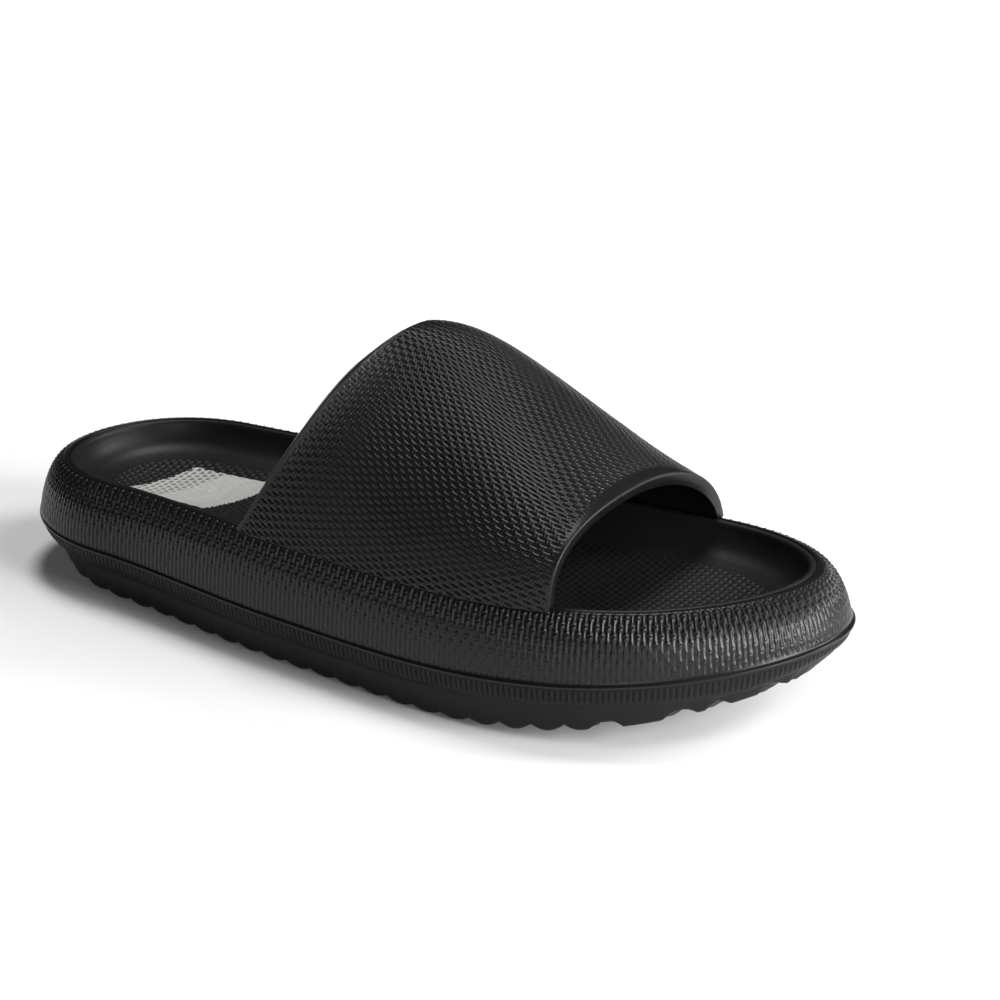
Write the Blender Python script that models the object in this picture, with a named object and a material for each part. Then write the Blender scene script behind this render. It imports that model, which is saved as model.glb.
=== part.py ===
# Moulded foam slide sandal for the right foot, in metres, standing on its sole.
# +X points to the toe, +Y to the inner (medial) side of the foot and +Z up.

import math

import bmesh
import bpy
import numpy as np

MM = 0.001
LENGTH = 285.0  # heel to toe over the parting lip
HALF = LENGTH / 2.0
FIT_GAP = 0.3  # air between pieces that meet
STATIONS = 41  # cross lines from heel to toe, closer together at the two round ends
FLOOR_COLUMNS = 4  # points across the footbed at each cross line
SMOOTH_ANGLE = math.radians(38.0)

# half widths of the sole at its parting lip; at = place along the length, -1 heel to 1 toe
OUTLINE = (
    {"at": -1.00, "medial": 42.6, "lateral": 42.6},
    {"at": -0.68, "medial": 42.6, "lateral": 42.6},
    {"at": -0.12, "medial": 42.7, "lateral": 51.5},
    {"at": 0.40, "medial": 47.3, "lateral": 56.8},
    {"at": 0.72, "medial": 47.3, "lateral": 52.5},
    {"at": 1.00, "medial": 45.9, "lateral": 47.3},
)
HEEL_ROUND = 49.7  # length of the round heel end
TOE_ROUND = 65.5  # length of the round toe end
ROUND_POWER = 2.2
TOE_SHIFT = 10.6  # the toe tip swings to the medial side
TOE_SHIFT_FROM = 0.2

# lines around the sole: inset from the outline and height above the floor, at heel, middle and toe
PARTING_HEIGHT = {"heel": 18.4, "middle": 15.4, "toe": 25.4}
RIM_INSET = {"heel": 10.9, "middle": 7.2, "toe": 12.0}
RIM_HEIGHT = {"heel": 37.0, "middle": 39.1, "toe": 41.8}
BAND_INSET = {"heel": 5.6, "middle": 2.4, "toe": 2.0}
BAND_HEIGHT = {"heel": 11.8, "middle": 9.8, "toe": 19.6}
SOLE_INSET = {"heel": 8.6, "middle": 3.3, "toe": 2.6}
INSET_FROM = 0.3  # insets change only beyond this share of the half length
INSET_POWER = 1.5
HEEL_FROM = 0.1  # heights change behind this share of the half length

# the underside leaves the floor behind the heel and ahead of the ball
HEEL_LIFT = {"from": -0.55, "rise": 8.4}
TOE_SPRING = {"from": 0.22, "rise": 18.8}

# thin lip along the parting line, with a groove under it
LIP_HEIGHT = 1.2
LIP_DEPTH = 0.7
LIP_BEVEL = 0.3
ROLL_START = 0.5  # the rolled side starts this far above the lip
GROOVE_DEPTH = 0.9

# rolled side of the midsole, lip to rim: share of the way in and of the way up
ROLL = (
    {"inward": 0.05, "up": 0.20},
    {"inward": 0.14, "up": 0.41},
    {"inward": 0.27, "up": 0.61},
    {"inward": 0.43, "up": 0.78},
    {"inward": 0.62, "up": 0.915},
    {"inward": 0.82, "up": 0.978},
    {"inward": 1.00, "up": 1.00},
)

# band under the lip: share of the way in and of the way down, then a small step to the plain wall
BAND = (
    {"inward": 0.06, "down": 0.30},
    {"inward": 0.40, "down": 0.68},
    {"inward": 1.00, "down": 1.00},
)
BAND_STEP = 0.5
STEP_DROP = 0.3
WALL_LEAST = 0.6  # least height of the plain wall above the lugs

# foot side of the insole's cup and the shell under it: distance inside the rim line, depth below it
CUP = (
    {"inside": 2.2, "depth": 0.1},
    {"inside": 3.0, "depth": 2.6},
    {"inside": 4.3, "depth": 5.2},
    {"inside": 6.4, "depth": 7.4},
    {"inside": 9.4, "depth": 8.8},
    {"inside": 13.5, "depth": 9.5},
)
CUP_EDGE = {"inside": FIT_GAP, "depth": 0.25}
CUP_UNDER = (
    {"inside": 0.3, "depth": 3.0},
    {"inside": 1.3, "depth": 6.4},
    {"inside": 3.6, "depth": 9.8},
    {"inside": 7.4, "depth": 12.0},
    {"inside": 13.5, "depth": 13.1},
)
# hollow of the footbed across the foot and its arch support; at = -1 heel to 1 toe
FOOTBED = (
    {"at": -1.0, "hollow": 0.6, "arch": 0.0},
    {"at": -0.6, "hollow": 2.2, "arch": 0.0},
    {"at": -0.1, "hollow": 0.6, "arch": 2.6},
    {"at": 0.4, "hollow": 1.4, "arch": 0.3},
    {"at": 1.0, "hollow": 0.5, "arch": 0.0},
)

# strap over the instep, one row for each section from the rear edge to the front edge:
# x of its two feet and its crown, height and sideways lean of the crown,
# fullness of each side and shoulder (2 is an ellipse), and the wall at the feet and at the crown
STRAP = (
    {"section": "rear", "lateral_x": -35.2, "crown_x": 1.6, "medial_x": -35.0, "crown_z": 98.9, "lean": 2.0,
     "lateral_side": 2.4, "lateral_top": 2.0, "medial_side": 2.4, "medial_top": 2.0,
     "foot_wall": 3.2, "crown_wall": 3.2},
    {"section": "middle", "lateral_x": 5.4, "crown_x": 30.0, "medial_x": -0.1, "crown_z": 88.9, "lean": 13.5,
     "lateral_side": 2.1, "lateral_top": 2.2, "medial_side": 2.1, "medial_top": 2.2,
     "foot_wall": 3.4, "crown_wall": 4.2},
    {"section": "front", "lateral_x": 77.6, "crown_x": 78.6, "medial_x": 84.4, "crown_z": 63.8, "lean": -1.7,
     "lateral_side": 2.5, "lateral_top": 3.0, "medial_side": 2.15, "medial_top": 2.6,
     "foot_wall": 3.6, "crown_wall": 5.4},
)
STRAP_ROWS = 14
STRAP_COLUMNS = 40
ARCH_STEPS = 240
EDGE_NOSE = 0.32  # rounding of the strap's two free edges, as a share of the wall
# lines of the strap's foot on the rolled rim: distance outside the rim line, share of the wall
FOOT_LINES = (
    {"outside": 2.0, "wall": 0.0},
    {"outside": 1.2, "wall": 0.3},
    {"outside": 0.0, "wall": 0.6},
)

# lugs under the sole: wavy bars at an even pitch, then plain ones of several widths under the toes
LUG_HEIGHT = 2.6
LUG_ROOT = 1.2  # how far a lug reaches up into the sole
LUG_FROM = -123.0
LUG_TO = 88.0
LUG_PITCH = 10.0
LUG_WIDTH = 5.2
LUG_TAPER = 1.0  # a lug is this much wider at its root, on each side
LUG_INSET = 0.5
LUG_WAVE = 2.0
LUG_WAVES = 2.0  # waves across the sole
LUG_COLUMNS = 6
TOE_LUGS = (
    {"from": 99.0, "to": 110.5},
    {"from": 116.5, "to": 120.0},
    {"from": 123.5, "to": 130.5},
    {"from": 133.6, "to": 135.8},
)

FINISH = {
    "outsole": {"colour": (0.030, 0.031, 0.033, 1.0), "roughness": 0.62},
    "midsole": {"colour": (0.042, 0.043, 0.046, 1.0), "roughness": 0.52},
    "insole": {"colour": (0.036, 0.036, 0.038, 1.0), "roughness": 0.42},
    "upper": {"colour": (0.040, 0.041, 0.044, 1.0), "roughness": 0.50},
}


def clamp(value):
    return np.clip(value, 0.0, 1.0)


def column(rows, name):
    return np.array([row[name] for row in rows], float)


def smooth_line(x, xs, ys):
    # monotone cubic through the rows of a short table
    step = np.diff(xs)
    slope = np.diff(ys) / step
    tangent = np.zeros(len(xs))
    for i in range(1, len(xs) - 1):
        if slope[i - 1] * slope[i] > 0.0:
            a = 2.0 * step[i] + step[i - 1]
            b = step[i] + 2.0 * step[i - 1]
            tangent[i] = (a + b) / (a / slope[i - 1] + b / slope[i])
    tangent[0] = slope[0]
    tangent[-1] = slope[-1]
    x = np.asarray(x, float)
    i = np.clip(np.searchsorted(xs, x) - 1, 0, len(xs) - 2)
    t = (x - xs[i]) / step[i]
    value = (1.0 + 2.0 * t) * (1.0 - t) ** 2 * ys[i]
    value = value + t * (1.0 - t) ** 2 * step[i] * tangent[i]
    value = value + t * t * (3.0 - 2.0 * t) * ys[i + 1]
    return value + t * t * (t - 1.0) * step[i] * tangent[i + 1]


def round_ends(x):
    heel = clamp((HEEL_ROUND - HALF - x) / HEEL_ROUND)
    toe = clamp((TOE_ROUND - HALF + x) / TOE_ROUND)
    return np.sqrt(clamp(1.0 - heel ** ROUND_POWER) * clamp(1.0 - toe ** ROUND_POWER))


def outline_ring():
    # closed outline: medial side from heel to toe, then the lateral side back
    x = -np.cos(np.linspace(0.0, math.pi, STATIONS)) * HALF
    at = column(OUTLINE, "at") * HALF
    ends = round_ends(x)
    middle = TOE_SHIFT * clamp((x / HALF - TOE_SHIFT_FROM) / (1.0 - TOE_SHIFT_FROM)) ** 2
    medial = middle + smooth_line(x, at, column(OUTLINE, "medial")) * ends
    lateral = middle - smooth_line(x, at, column(OUTLINE, "lateral")) * ends
    there = np.stack([x, medial], 1)
    back = np.stack([x, lateral], 1)[::-1][1:-1]
    ring = np.concatenate([there, back])
    ring[:, 1] -= (ring[:, 1].min() + ring[:, 1].max()) / 2.0
    run = np.roll(ring, -1, 0) - np.roll(ring, 1, 0)
    inward = np.stack([run[:, 1], -run[:, 0]], 1)
    return ring, inward / np.linalg.norm(inward, axis=1)[:, None]


RING, INWARD = outline_ring()
ALONG = RING[:, 0] / HALF
ZERO = np.zeros(len(ALONG))


def blend_inset(line):
    back = clamp((-ALONG - INSET_FROM) / (1.0 - INSET_FROM)) ** INSET_POWER
    front = clamp((ALONG - INSET_FROM) / (1.0 - INSET_FROM)) ** INSET_POWER
    middle = line["middle"]
    return middle + (line["heel"] - middle) * back + (line["toe"] - middle) * front


def blend_height(line):
    back = clamp((-ALONG - HEEL_FROM) / (1.0 - HEEL_FROM)) ** 2
    front = clamp(ALONG) ** 2
    middle = line["middle"]
    return middle + (line["heel"] - middle) * back + (line["toe"] - middle) * front


def underside(x):
    # height of the lug faces above the floor
    s = x / HALF
    back = clamp((HEEL_LIFT["from"] - s) / (1.0 + HEEL_LIFT["from"])) ** 2
    front = clamp((s - TOE_SPRING["from"]) / (1.0 - TOE_SPRING["from"])) ** 2
    return HEEL_LIFT["rise"] * back + TOE_SPRING["rise"] * front


def ring_at(inset, height):
    place = RING + INWARD * inset[:, None]
    return np.stack([place[:, 0], place[:, 1], height], 1)


def ring_point(ring, x, medial):
    # point of a ring at x, on its medial or its lateral side
    if medial:
        side = ring[:STATIONS]
    else:
        side = np.concatenate([ring[STATIONS - 1:], ring[:1]])[::-1]
    return np.array([x, np.interp(x, side[:, 0], side[:, 1]), np.interp(x, side[:, 0], side[:, 2])])


def roll_ring(inset, up):
    low = blend_height(PARTING_HEIGHT) + LIP_HEIGHT + ROLL_START
    return ring_at(inset, low + (blend_height(RIM_HEIGHT) - low) * up)


def footbed_drop(along, across):
    # depth of the footbed at a place across the foot, -1 lateral to 1 medial
    at = column(FOOTBED, "at")
    hollow = smooth_line(along, at, column(FOOTBED, "hollow"))
    arch = smooth_line(along, at, column(FOOTBED, "arch"))
    medial = clamp(across)
    return hollow * (1.0 - across ** 2) - arch * 4.0 * medial * (1.0 - medial)


class Shell:
    # a closed skin made of rings, strips and caps of points in millimetres

    def __init__(self):
        self.work = bmesh.new()

    def add(self, points):
        return [self.work.verts.new([float(v) * MM for v in point]) for point in points]

    def face(self, corners):
        self.work.faces.new(list(dict.fromkeys(corners)))

    def strip(self, first, second):
        for i in range(len(first) - 1):
            self.face((first[i], first[i + 1], second[i + 1], second[i]))

    def bands(self, rings):
        for lower, upper in zip(rings[:-1], rings[1:]):
            self.strip(lower + lower[:1], upper + upper[:1])

    def plain_cap(self, ring):
        # closes a ring with one flat strip for each pair of cross lines
        lateral = [ring[0]] + ring[:STATIONS - 2:-1]
        self.strip(ring[:STATIONS], lateral)

    def footbed_cap(self, ring):
        # closes a ring with points across each cross line, set down into the footbed's hollow
        lines = [[ring[0]]]
        for i in range(1, STATIONS - 1):
            medial = np.array(ring[i].co) / MM
            lateral = np.array(ring[-i].co) / MM
            inner = []
            for share in np.linspace(0.0, 1.0, FLOOR_COLUMNS + 2)[1:-1]:
                point = medial + (lateral - medial) * share
                point[2] -= footbed_drop(ALONG[i], 1.0 - 2.0 * share)
                inner.append(point)
            lines.append([ring[i]] + self.add(inner) + [ring[-i]])
        lines.append([ring[STATIONS - 1]])
        for rear, front in zip(lines[:-1], lines[1:]):
            count = max(len(rear), len(front))
            self.strip(rear * (count // len(rear)), front * (count // len(front)))

    def mesh(self, name):
        bmesh.ops.triangulate(self.work, faces=list(self.work.faces))
        bmesh.ops.recalc_face_normals(self.work, faces=list(self.work.faces))
        mesh = bpy.data.meshes.new(name)
        self.work.to_mesh(mesh)
        self.work.free()
        return mesh


def cup_rings(shell, rows, offset):
    # rings down the cup, moved by offset away from the foot along the wall's normal
    inside = column(rows, "inside")
    depth = column(rows, "depth")
    run_in = np.gradient(inside)
    run_down = np.gradient(depth)
    size = np.hypot(run_in, run_down)
    inside = inside - offset * run_down / size
    depth = depth + offset * run_in / size
    edge = blend_inset(RIM_INSET)
    rim = blend_height(RIM_HEIGHT)
    return [shell.add(ring_at(edge + i, rim - d)) for i, d in zip(inside, depth)]


def midsole_mesh():
    # thick platform with a lip at its foot, a rolled side and the cup that holds the insole
    shell = Shell()
    lip = blend_height(PARTING_HEIGHT) + FIT_GAP / 2.0
    rings = [
        shell.add(ring_at(ZERO, lip)),
        shell.add(ring_at(ZERO, lip + LIP_HEIGHT - LIP_BEVEL)),
        shell.add(ring_at(ZERO + LIP_DEPTH, lip + LIP_HEIGHT + LIP_BEVEL)),
    ]
    edge = blend_inset(RIM_INSET)
    for row in ROLL:
        rings.append(shell.add(roll_ring(LIP_DEPTH + (edge - LIP_DEPTH) * row["inward"], row["up"])))
    rings.extend(cup_rings(shell, CUP_UNDER, FIT_GAP))
    shell.plain_cap(rings[0])
    shell.bands(rings)
    shell.footbed_cap(rings[-1])
    return shell.mesh("midsole")


def insole_mesh():
    # cupped footbed lying in the midsole
    shell = Shell()
    under = cup_rings(shell, (CUP_EDGE,) + CUP_UNDER, 0.0)
    rings = under[::-1] + cup_rings(shell, CUP, 0.0)
    shell.footbed_cap(rings[0])
    shell.bands(rings)
    shell.footbed_cap(rings[-1])
    return shell.mesh("insole")


def outsole_mesh():
    # undercut band and plain wall below the lip
    shell = Shell()
    top = blend_height(PARTING_HEIGHT) - FIT_GAP / 2.0
    foot = underside(RING[:, 0]) + LUG_HEIGHT
    band_inset = blend_inset(BAND_INSET)
    band_foot = np.maximum(blend_height(BAND_HEIGHT), foot + WALL_LEAST)
    rings = [shell.add(ring_at(ZERO + GROOVE_DEPTH, top))]
    for row in BAND:
        inset = GROOVE_DEPTH + (band_inset - GROOVE_DEPTH) * row["inward"]
        rings.append(shell.add(ring_at(inset, top + (band_foot - top) * row["down"])))
    rings.append(shell.add(ring_at(band_inset + BAND_STEP, band_foot - STEP_DROP)))
    rings.append(shell.add(ring_at(blend_inset(SOLE_INSET) + BAND_STEP, foot)))
    shell.plain_cap(rings[0])
    shell.bands(rings)
    shell.plain_cap(rings[-1])
    return shell.mesh("outsole")


def lug(shell, rear, front, wave):
    # one bar across the sole, narrower at its face than at its root
    sole = ring_at(blend_inset(SOLE_INSET) + BAND_STEP + LUG_INSET, ZERO)
    height = LUG_HEIGHT + LUG_ROOT
    spread = LUG_TAPER * height / LUG_HEIGHT
    rows = []
    for share in np.linspace(0.0, 1.0, LUG_COLUMNS + 1):
        sway = wave * math.cos(share * math.tau * LUG_WAVES)
        section = []
        for x, root in ((rear, 0.0), (rear - spread, 1.0), (front + spread, 1.0), (front, 0.0)):
            lateral = ring_point(sole, x + sway, False)
            medial = ring_point(sole, x + sway, True)
            point = lateral + (medial - lateral) * share
            point[2] = underside(x + sway) + height * root
            section.append(point)
        rows.append(shell.add(section))
    for row, other in zip(rows[:-1], rows[1:]):
        shell.strip(row + row[:1], other + other[:1])
    shell.face(rows[0])
    shell.face(rows[-1])


def lugs_mesh():
    shell = Shell()
    for x in np.arange(LUG_FROM, LUG_TO, LUG_PITCH):
        lug(shell, x - LUG_WIDTH / 2.0, x + LUG_WIDTH / 2.0, LUG_WAVE)
    for row in TOE_LUGS:
        lug(shell, row["from"], row["to"], 0.0)
    return shell.mesh("lugs")


def foot_ring(outside):
    # line on the rolled rim that the strap's foot stands on
    edge = blend_inset(RIM_INSET)
    share = (edge - outside - LIP_DEPTH) / (edge - LIP_DEPTH)
    ring = roll_ring(edge - outside, np.interp(share, column(ROLL, "inward"), column(ROLL, "up")))
    ring[:, 2] += FIT_GAP
    return ring


FOOT_RINGS = [foot_ring(row["outside"]) for row in FOOT_LINES]


def strap_value(name, u):
    # parabola through the three sections, u = 0 rear to 1 front
    rear, middle, front = column(STRAP, name)
    return rear * (1.0 - u) * (1.0 - 2.0 * u) + 4.0 * middle * u * (1.0 - u) + front * u * (2.0 * u - 1.0)


def strap_section(u):
    # arch of the strap from its lateral foot over the crown to its medial foot, in even steps
    angle = np.linspace(0.0, math.pi, ARCH_STEPS + 1)
    lateral = angle <= math.pi / 2.0
    side = np.cos(angle)
    rise = np.sin(angle)
    side_power = np.where(lateral, strap_value("lateral_side", u), strap_value("medial_side", u))
    top_power = np.where(lateral, strap_value("lateral_top", u), strap_value("medial_top", u))
    share = (1.0 - np.sign(side) * np.abs(side) ** (2.0 / side_power)) / 2.0
    up = np.abs(rise) ** (2.0 / top_power)
    start = ring_point(FOOT_RINGS[0], strap_value("lateral_x", u), False)
    end = ring_point(FOOT_RINGS[0], strap_value("medial_x", u), True)
    foot_x = np.where(lateral, start[0], end[0])
    foot_z = start[2] + (end[2] - start[2]) * share
    x = foot_x + (strap_value("crown_x", u) - foot_x) * rise
    y = start[1] + (end[1] - start[1]) * share + strap_value("lean", u) * rise
    z = foot_z + (strap_value("crown_z", u) - foot_z) * up
    line = np.stack([x, y, z], 1)
    run = np.concatenate([[0.0], np.cumsum(np.linalg.norm(np.diff(line, axis=0), axis=1))])
    even = np.linspace(0.0, run[-1], STRAP_COLUMNS + 1)
    return np.stack([np.interp(even, run, line[:, k]) for k in range(3)], 1)


def strap_sides():
    # outer and inner skin of the strap, a wall apart along the outer skin's normal
    shares = np.linspace(0.0, 1.0, STRAP_ROWS + 1)
    outer = np.array([strap_section(u) for u in shares])
    along = np.gradient(outer, axis=0)
    along /= np.linalg.norm(along, axis=2)[:, :, None]
    outward = np.cross(along, np.gradient(outer, axis=1))
    outward /= np.linalg.norm(outward, axis=2)[:, :, None]
    over = np.sin(np.linspace(0.0, math.pi, STRAP_COLUMNS + 1))
    foot_wall = np.array([strap_value("foot_wall", u) for u in shares])[:, None]
    crown_wall = np.array([strap_value("crown_wall", u) for u in shares])[:, None]
    wall = foot_wall + (crown_wall - foot_wall) * over
    inner = outer - outward * wall[:, :, None]
    for k, medial in ((0, False), (STRAP_COLUMNS, True)):
        for i in range(STRAP_ROWS + 1):
            inner[i, k, 2] = ring_point(FOOT_RINGS[-1], inner[i, k, 0], medial)[2]
    return outer, inner, along, wall


def upper_mesh():
    # one hollow strap, open in front and behind, with rounded free edges
    shell = Shell()
    outer, inner, along, wall = strap_sides()
    out = [shell.add(row) for row in outer]
    back = [shell.add(row) for row in inner]
    for i in range(STRAP_ROWS):
        shell.strip(out[i], out[i + 1])
        shell.strip(back[i], back[i + 1])
    feet = {}
    for k, medial in ((0, False), (STRAP_COLUMNS, True)):
        lines = [[row[k] for row in out]]
        for ring, row in zip(FOOT_RINGS[1:], FOOT_LINES[1:]):
            places = outer[:, k, 0] + (inner[:, k, 0] - outer[:, k, 0]) * row["wall"]
            lines.append(shell.add([ring_point(ring, x, medial) for x in places]))
        lines.append([row[k] for row in back])
        for first, second in zip(lines[:-1], lines[1:]):
            shell.strip(first, second)
        feet[k] = lines
    for edge, ahead in ((0, -EDGE_NOSE), (STRAP_ROWS, EDGE_NOSE)):
        nose = (outer[edge] + inner[edge]) / 2.0 + along[edge] * wall[edge][:, None] * ahead
        for k, medial in ((0, False), (STRAP_COLUMNS, True)):
            nose[k, 2] = ring_point(FOOT_RINGS[-1], nose[k, 0], medial)[2]
        line = shell.add(nose)
        shell.strip(out[edge], line)
        shell.strip(line, back[edge])
        for k in feet:
            corner = [foot[edge] for foot in feet[k]]
            for first, second in zip(corner[:-1], corner[1:]):
                shell.face((first, second, line[k]))
    return shell.mesh("upper")


def material(name):
    made = bpy.data.materials.new(name)
    made.use_nodes = True
    shader = made.node_tree.nodes["Principled BSDF"]
    shader.inputs["Base Color"].default_value = FINISH[name]["colour"]
    shader.inputs["Roughness"].default_value = FINISH[name]["roughness"]
    shader.inputs["Metallic"].default_value = 0.0
    made.diffuse_color = FINISH[name]["colour"]
    return made


def place(name, mesh, holder):
    piece = bpy.data.objects.new(name, mesh)
    bpy.context.scene.collection.objects.link(piece)
    piece.parent = holder
    mesh.shade_smooth()
    mesh.set_sharp_from_angle(angle=SMOOTH_ANGLE)
    return piece


def main():
    for old in list(bpy.data.objects):
        bpy.data.objects.remove(old, do_unlink=True)
    holder = bpy.data.objects.new("sandal", None)
    bpy.context.scene.collection.objects.link(holder)
    meshes = {
        "outsole": outsole_mesh(),
        "midsole": midsole_mesh(),
        "insole": insole_mesh(),
        "upper": upper_mesh(),
    }
    for name, mesh in meshes.items():
        mesh.materials.append(material(name))
        place(name, mesh, holder)
    tread = place("tread_tool", lugs_mesh(), holder)
    tread.hide_render = True
    tread.display_type = "WIRE"
    join = bpy.data.objects["outsole"].modifiers.new("tread", "BOOLEAN")
    join.operation = "UNION"
    join.solver = "EXACT"
    join.object = tread


main()
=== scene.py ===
import math

import bmesh
import bpy
import numpy as np
from mathutils import Matrix, Vector


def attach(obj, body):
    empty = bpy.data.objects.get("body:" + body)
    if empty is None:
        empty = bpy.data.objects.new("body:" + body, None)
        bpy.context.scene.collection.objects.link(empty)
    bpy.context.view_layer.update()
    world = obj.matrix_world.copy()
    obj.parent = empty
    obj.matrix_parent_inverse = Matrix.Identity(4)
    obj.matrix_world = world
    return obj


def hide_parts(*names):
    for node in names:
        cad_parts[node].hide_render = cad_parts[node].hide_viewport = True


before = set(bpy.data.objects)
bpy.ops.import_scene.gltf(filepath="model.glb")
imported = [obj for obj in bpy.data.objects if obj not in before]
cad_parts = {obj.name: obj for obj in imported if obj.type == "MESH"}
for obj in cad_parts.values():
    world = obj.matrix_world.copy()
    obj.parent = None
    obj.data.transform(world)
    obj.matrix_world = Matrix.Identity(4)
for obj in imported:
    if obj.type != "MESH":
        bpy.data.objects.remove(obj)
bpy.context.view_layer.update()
print("frame loaded:", sorted(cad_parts))

mm = 0.001

# the sole's lines, all in millimetres; triples are heel, middle, toe
sole = {
    "length": 285.0,
    "gap": 0.3,
    "outlineAt": (-1.0, -0.68, -0.12, 0.40, 0.72, 1.0),
    "medial": (42.6, 42.6, 42.7, 47.3, 47.3, 45.9),
    "lateral": (42.6, 42.6, 51.5, 56.8, 52.5, 47.3),
    "heelRound": 49.7,
    "toeRound": 65.5,
    "roundPower": 2.2,
    "toeShift": 10.6,
    "toeShiftFrom": 0.2,
    "parting": (18.4, 15.4, 25.4),
    "rimInset": (10.9, 7.2, 12.0),
    "rimHeight": (37.0, 39.1, 41.8),
    "bandInset": (5.6, 2.4, 2.0),
    "bandHeight": (11.8, 9.8, 19.6),
    "soleInset": (8.6, 3.3, 2.6),
    "insetFrom": 0.3,
    "insetPower": 1.5,
    "heelFrom": 0.1,
    "heelLiftFrom": -0.55,
    "heelLift": 8.4,
    "toeSpringFrom": 0.22,
    "toeSpring": 18.8,
    "denseSteps": 6000,
    "measureSteps": 1000,
}
half = sole["length"] / 2.0


def clamp(value):
    return np.clip(value, 0.0, 1.0)


def smooth(value):
    value = clamp(value)
    return value * value * (3.0 - 2.0 * value)


def between(low, high, share):
    return low + (high - low) * share


def smoothLine(x, xs, ys):  # monotone cubic through a short table
    xs = np.asarray(xs, float)
    ys = np.asarray(ys, float)
    step = np.diff(xs)
    slope = np.diff(ys) / step
    tangent = np.zeros(len(xs))
    for i in range(1, len(xs) - 1):
        if slope[i - 1] * slope[i] > 0.0:
            a = 2.0 * step[i] + step[i - 1]
            b = step[i] + 2.0 * step[i - 1]
            tangent[i] = (a + b) / (a / slope[i - 1] + b / slope[i])
    tangent[0] = slope[0]
    tangent[-1] = slope[-1]
    x = np.asarray(x, float)
    i = np.clip(np.searchsorted(xs, x) - 1, 0, len(xs) - 2)
    t = (x - xs[i]) / step[i]
    value = (1.0 + 2.0 * t) * (1.0 - t) ** 2 * ys[i]
    value = value + t * (1.0 - t) ** 2 * step[i] * tangent[i]
    value = value + t * t * (3.0 - 2.0 * t) * ys[i + 1]
    return value + t * t * (t - 1.0) * step[i] * tangent[i + 1]


def runOf(rows):  # distance of each point from the first row's, along the surface
    steps = np.linalg.norm(np.diff(rows, axis=0), axis=-1)
    return np.concatenate([np.zeros_like(steps[:1]), np.cumsum(steps, axis=0)])


def smoothPath(first, second, count):  # a smooth line through short tables of two coordinates
    run = runOf(np.stack([first, second], 1))
    fine = np.linspace(0.0, run[-1], count)
    return np.stack([smoothLine(fine, run, first), smoothLine(fine, run, second)], 1)


def evenPoints(line, steps):  # the line again, in even steps or at given shares of its own length
    run = runOf(line)
    even = (np.linspace(0.0, 1.0, steps) if np.isscalar(steps) else steps) * run[-1]
    return np.stack([np.interp(even, run, line[:, k]) for k in range(line.shape[1])], 1)


class SoleRing:  # closed outline of the sole: medial side from heel to toe, lateral side back

    def __init__(self, perSide, samples=(0.0,)):
        x = -np.cos(np.linspace(0.0, math.pi, sole["denseSteps"])) * half
        heel = clamp((sole["heelRound"] - half - x) / sole["heelRound"])
        toe = clamp((sole["toeRound"] - half + x) / sole["toeRound"])
        power = sole["roundPower"]
        ends = np.sqrt(clamp(1.0 - heel ** power) * clamp(1.0 - toe ** power))
        at = np.array(sole["outlineAt"]) * half
        shiftFrom = sole["toeShiftFrom"]
        middle = sole["toeShift"] * clamp((x / half - shiftFrom) / (1.0 - shiftFrom)) ** 2
        medial = middle + smoothLine(x, at, sole["medial"]) * ends
        lateral = middle - smoothLine(x, at, sole["lateral"]) * ends
        centre = (medial.max() + lateral.min()) / 2.0
        medialLine = np.stack([x, medial - centre], 1)
        lateralLine = np.stack([x, lateral - centre], 1)
        whole = np.arange(perSide // len(samples))[:, None]
        steps = (whole + np.array(samples)).ravel() * len(samples) / perSide
        there = evenPoints(medialLine, np.append(steps, 1.0))
        back = evenPoints(lateralLine[::-1], np.append(steps, 1.0))[1:-1]
        self.perSide = perSide
        self.count = 2 * perSide
        self.points = np.concatenate([there, back])
        run = np.roll(self.points, -1, 0) - np.roll(self.points, 1, 0)
        inward = np.stack([run[:, 1], -run[:, 0]], 1)
        self.inward = inward / np.linalg.norm(inward, axis=1)[:, None]
        self.along = self.points[:, 0] / half
        self.length = np.linalg.norm(np.diff(self.points, axis=0, append=self.points[:1]), axis=1).sum()

    def blend(self, line, heelFrom, toeFrom, power):  # from the middle's value to the heel's and the toe's
        back = clamp((-self.along - heelFrom) / (1.0 - heelFrom)) ** power
        front = clamp((self.along - toeFrom) / (1.0 - toeFrom)) ** power
        return line[1] + (line[0] - line[1]) * back + (line[2] - line[1]) * front

    def inset(self, line):
        return self.blend(line, sole["insetFrom"], sole["insetFrom"], sole["insetPower"])

    def height(self, line):
        return self.blend(line, sole["heelFrom"], 0.0, 2)

    def at(self, inset, height):
        place = self.points + self.inward * (np.zeros(self.count) + inset)[:, None]
        return np.stack([place[:, 0], place[:, 1], np.zeros(self.count) + height], 1)

    def side(self, ring, medial):  # one side of a ring, heel to toe
        if medial:
            return ring[:self.perSide + 1]
        return np.concatenate([ring[self.perSide:], ring[:1]])[::-1]


def underside(x):  # height of the lug faces
    s = x / half
    back = clamp((sole["heelLiftFrom"] - s) / (1.0 + sole["heelLiftFrom"])) ** 2
    front = clamp((s - sole["toeSpringFrom"]) / (1.0 - sole["toeSpringFrom"])) ** 2
    return sole["heelLift"] * back + sole["toeSpring"] * front


def sidePoint(line, x):
    y = np.interp(x, line[:, 0], line[:, 1])
    return np.array([x, y, np.interp(x, line[:, 0], line[:, 2])])


def newObject(name, data):
    made = bpy.data.objects.new(name, data)
    bpy.context.scene.collection.objects.link(made)
    return made


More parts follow.
